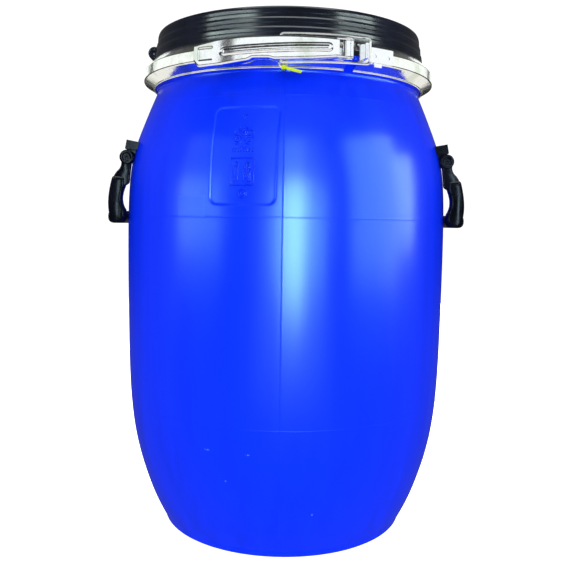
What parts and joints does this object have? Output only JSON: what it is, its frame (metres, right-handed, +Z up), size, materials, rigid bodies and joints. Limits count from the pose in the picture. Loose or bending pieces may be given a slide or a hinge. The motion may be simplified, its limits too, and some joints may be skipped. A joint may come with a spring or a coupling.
{
  "type": "open head drum",
  "caption": "Barrel-shaped blue plastic open-head drum with a black stepped lid, a lever-latched steel closing ring and black swing handles.",
  "frame": {"origin": "centre of the base, on the floor", "axes": "+Z up along the drum's axis; the latch faces -Y; the handles are on +X and -X"},
  "size_m": [0.4458, 0.396, 0.602],
  "materials": {
    "body_plastic": "satin blow-moulded polyethylene, saturated blue",
    "lid_plastic": "satin moulded polyethylene, black",
    "gasket_rubber": "soft foam rubber, dark grey",
    "ring_steel": "bright galvanised sheet steel",
    "latch_steel": "bright galvanised pressed steel",
    "pin_steel": "zinc-plated steel wire",
    "seal_plastic": "translucent yellow-green plastic",
    "handle_plastic": "satin moulded plastic, black",
    "hinge_pin_plastic": "moulded plastic, dark grey"
  },
  "bodies": {
    "drum": {"drum_body": "body_plastic", "lid": "lid_plastic", "lid_gasket": "gasket_rubber", "locking_ring": "ring_steel", "fulcrum_bracket": "latch_steel", "catch_bracket": "latch_steel", "seal_lug": "latch_steel", "security_seal": "seal_plastic", "lever_pin": "pin_steel", "left_front_handle_bracket": "handle_plastic", "left_rear_handle_bracket": "handle_plastic", "right_front_handle_bracket": "handle_plastic", "right_rear_handle_bracket": "handle_plastic", "left_front_hinge_pin": "hinge_pin_plastic", "left_rear_hinge_pin": "hinge_pin_plastic", "right_front_hinge_pin": "hinge_pin_plastic", "right_rear_hinge_pin": "hinge_pin_plastic"},
    "lever": {"latch_lever": "latch_steel"},
    "link": {"latch_link": "pin_steel"},
    "left_bail": {"left_handle": "handle_plastic"},
    "right_bail": {"right_handle": "handle_plastic"}
  },
  "joints": [
    {"name": "lever_hinge", "type": "hinge", "parent": "drum", "child": "lever", "pos_m": [0.06093, -0.17796, 0.555], "axis": [0, 0, 1], "range_deg": [0, 120]},
    {"name": "link_hinge", "type": "hinge", "parent": "lever", "child": "link", "pos_m": [-0.00796, -0.18983, 0.553], "axis": [0, 0, 1], "range_deg": [-80, 0]},
    {"name": "left_handle_hinge", "type": "hinge", "parent": "drum", "child": "left_bail", "pos_m": [-0.189, 0, 0.4521], "axis": [0, 1, 0], "range_deg": [0, 110]},
    {"name": "right_handle_hinge", "type": "hinge", "parent": "drum", "child": "right_bail", "pos_m": [0.189, 0, 0.4521], "axis": [0, -1, 0], "range_deg": [0, 110]}
  ],
  "couplings": [
    {"joint": "link_hinge", "follows": "lever_hinge", "ratio": -0.65}
  ]
}
